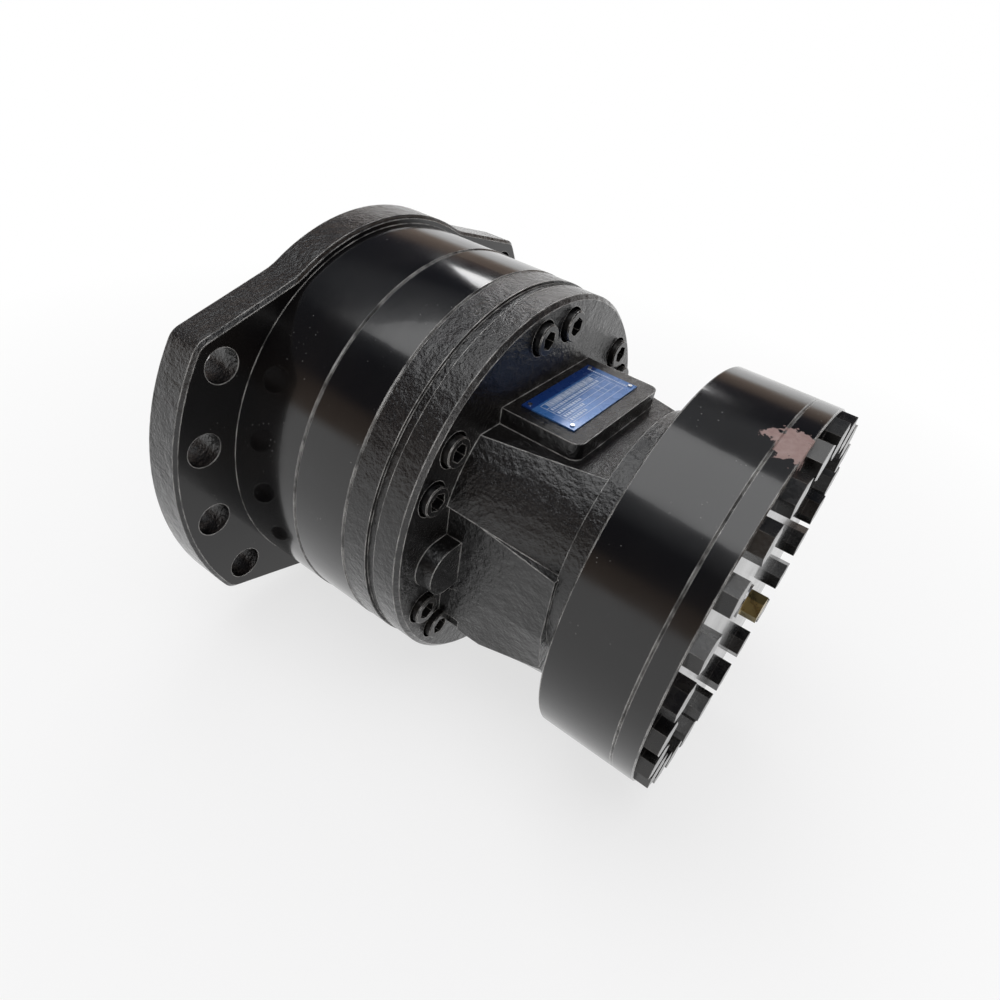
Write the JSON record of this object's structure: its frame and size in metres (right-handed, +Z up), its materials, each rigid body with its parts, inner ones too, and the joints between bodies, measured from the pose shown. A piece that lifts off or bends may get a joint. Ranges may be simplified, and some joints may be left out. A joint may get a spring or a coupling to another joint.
{
  "type": "hydraulic track drive motor",
  "caption": "Radial piston hydraulic final drive motor with two-lobed mounting flange, output hub and spring applied disc brake.",
  "frame": {"origin": "centre of the mounting flange's inner face, on the shaft axis", "axes": "+X along the shaft axis from the hub to the brake, +Y along the flange lobes, +Z up through the rating plate pad"},
  "size_m": [0.349, 0.326, 0.258],
  "materials": {
    "case_paint": "gloss black paint over machined and cast iron",
    "cast_paint": "gloss black paint over rough cast iron",
    "hub_paint": "gloss black paint",
    "black_screw": "black oxide steel",
    "black_bolt": "black oxide steel",
    "bright_steel": "bright zinc plated steel",
    "bearing_steel": "ground bearing steel",
    "spring_steel": "spring steel",
    "machined_iron": "machined iron",
    "friction_lining": "sintered bronze lining on steel discs",
    "seal_rubber": "nitrile rubber",
    "plug_brass": "yellow passivated brass",
    "plate_blue": "blue printed aluminium"
  },
  "bodies": {
    "case": {"front_housing": "case_paint", "cam_ring": "case_paint", "rear_housing": "cast_paint", "brake_housing": "case_paint", "brake_cover": "case_paint", "case_seals": "seal_rubber", "housing_screws": "black_screw", "cover_bolts": "black_bolt", "brake_housing_screws": "black_screw", "plug_washer": "bright_steel", "release_plug": "plug_brass", "separator_plates": "bearing_steel", "brake_spring": "spring_steel", "shaft_seal": "seal_rubber", "front_bearing_cup": "bearing_steel", "rear_bearing_cup": "bearing_steel", "distributor": "machined_iron", "distributor_seals": "seal_rubber", "distributor_spring": "spring_steel", "spool_plug": "black_bolt", "spool_spring": "spring_steel", "rating_plate": "plate_blue", "rating_plate_rivets": "bright_steel"},
    "rotor": {"output_shaft": "hub_paint", "bearing_nut": "bearing_steel", "brake_shaft": "bearing_steel", "brake_shaft_circlip": "spring_steel", "front_bearing_cone": "bearing_steel", "rear_bearing_cone": "bearing_steel", "cylinder_block": "machined_iron", "friction_discs": "friction_lining"},
    "front_cage": {"front_bearing_rollers": "bearing_steel", "front_bearing_cage": "bright_steel"},
    "rear_cage": {"rear_bearing_rollers": "bearing_steel", "rear_bearing_cage": "bright_steel"},
    "brake_piston": {"brake_piston": "machined_iron"},
    "speed_spool": {"speed_spool": "bearing_steel"},
    "piston_1": {"piston_1": "bearing_steel"},
    "roller_1": {"roller_1": "bearing_steel"},
    "piston_2": {"piston_2": "bearing_steel"},
    "roller_2": {"roller_2": "bearing_steel"},
    "piston_3": {"piston_3": "bearing_steel"},
    "roller_3": {"roller_3": "bearing_steel"},
    "piston_4": {"piston_4": "bearing_steel"},
    "roller_4": {"roller_4": "bearing_steel"},
    "piston_5": {"piston_5": "bearing_steel"},
    "roller_5": {"roller_5": "bearing_steel"},
    "piston_6": {"piston_6": "bearing_steel"},
    "roller_6": {"roller_6": "bearing_steel"},
    "piston_7": {"piston_7": "bearing_steel"},
    "roller_7": {"roller_7": "bearing_steel"},
    "piston_8": {"piston_8": "bearing_steel"},
    "roller_8": {"roller_8": "bearing_steel"}
  },
  "joints": [
    {"name": "rotor_spin", "type": "hinge", "parent": "case", "child": "rotor", "pos_m": [0, 0, 0], "axis": [1, 0, 0], "continuous": true},
    {"name": "front_cage_orbit", "type": "hinge", "parent": "case", "child": "front_cage", "pos_m": [0, 0, 0], "axis": [1, 0, 0], "continuous": true},
    {"name": "rear_cage_orbit", "type": "hinge", "parent": "case", "child": "rear_cage", "pos_m": [0, 0, 0], "axis": [1, 0, 0], "continuous": true},
    {"name": "brake_release", "type": "slide", "parent": "case", "child": "brake_piston", "axis": [1, 0, 0], "range_m": [0, 0.002], "stiffness_N_per_m": 20000, "springref_m": -0.002, "deforming": ["brake_spring"]},
    {"name": "speed_shift", "type": "slide", "parent": "case", "child": "speed_spool", "axis": [0, 1, 0], "range_m": [0, 0.006], "stiffness_N_per_m": 1500, "springref_m": -0.002, "deforming": ["spool_spring"]},
    {"name": "piston_1_slide", "type": "slide", "parent": "rotor", "child": "piston_1", "axis": [0, 0, 1], "range_m": [0, 0.011], "stiffness_N_per_m": 2000, "springref_m": -0.004},
    {"name": "roller_1_spin", "type": "hinge", "parent": "piston_1", "child": "roller_1", "pos_m": [0.07, 0, 0.0803], "axis": [1, 0, 0], "continuous": true},
    {"name": "piston_2_slide", "type": "slide", "parent": "rotor", "child": "piston_2", "axis": [0, -0.7071, 0.7071], "range_m": [0, 0.011], "stiffness_N_per_m": 2000, "springref_m": -0.004},
    {"name": "roller_2_spin", "type": "hinge", "parent": "piston_2", "child": "roller_2", "pos_m": [0.07, -0.05678, 0.05678], "axis": [1, 0, 0], "continuous": true},
    {"name": "piston_3_slide", "type": "slide", "parent": "rotor", "child": "piston_3", "axis": [0, -1, 0], "range_m": [0, 0.0026], "stiffness_N_per_m": 2000, "springref_m": -0.004},
    {"name": "roller_3_spin", "type": "hinge", "parent": "piston_3", "child": "roller_3", "pos_m": [0.07, -0.0803, 0], "axis": [1, 0, 0], "continuous": true},
    {"name": "piston_4_slide", "type": "slide", "parent": "rotor", "child": "piston_4", "axis": [0, -0.7071, -0.7071], "range_m": [0, 0.0026], "stiffness_N_per_m": 2000, "springref_m": -0.004},
    {"name": "roller_4_spin", "type": "hinge", "parent": "piston_4", "child": "roller_4", "pos_m": [0.07, -0.05678, -0.05678], "axis": [1, 0, 0], "continuous": true},
    {"name": "piston_5_slide", "type": "slide", "parent": "rotor", "child": "piston_5", "axis": [0, 0, -1], "range_m": [0, 0.011], "stiffness_N_per_m": 2000, "springref_m": -0.004},
    {"name": "roller_5_spin", "type": "hinge", "parent": "piston_5", "child": "roller_5", "pos_m": [0.07, 0, -0.0803], "axis": [1, 0, 0], "continuous": true},
    {"name": "piston_6_slide", "type": "slide", "parent": "rotor", "child": "piston_6", "axis": [0, 0.7071, -0.7071], "range_m": [0, 0.011], "stiffness_N_per_m": 2000, "springref_m": -0.004},
    {"name": "roller_6_spin", "type": "hinge", "parent": "piston_6", "child": "roller_6", "pos_m": [0.07, 0.05678, -0.05678], "axis": [1, 0, 0], "continuous": true},
    {"name": "piston_7_slide", "type": "slide", "parent": "rotor", "child": "piston_7", "axis": [0, 1, 0], "range_m": [0, 0.0026], "stiffness_N_per_m": 2000, "springref_m": -0.004},
    {"name": "roller_7_spin", "type": "hinge", "parent": "piston_7", "child": "roller_7", "pos_m": [0.07, 0.0803, 0], "axis": [1, 0, 0], "continuous": true},
    {"name": "piston_8_slide", "type": "slide", "parent": "rotor", "child": "piston_8", "axis": [0, 0.7071, 0.7071], "range_m": [0, 0.0026], "stiffness_N_per_m": 2000, "springref_m": -0.004},
    {"name": "roller_8_spin", "type": "hinge", "parent": "piston_8", "child": "roller_8", "pos_m": [0.07, 0.05678, 0.05678], "axis": [1, 0, 0], "continuous": true}
  ],
  "couplings": [
    {"joint": "front_cage_orbit", "follows": "rotor_spin", "ratio": 0.4385},
    {"joint": "rear_cage_orbit", "follows": "rotor_spin", "ratio": 0.44}
  ]
}
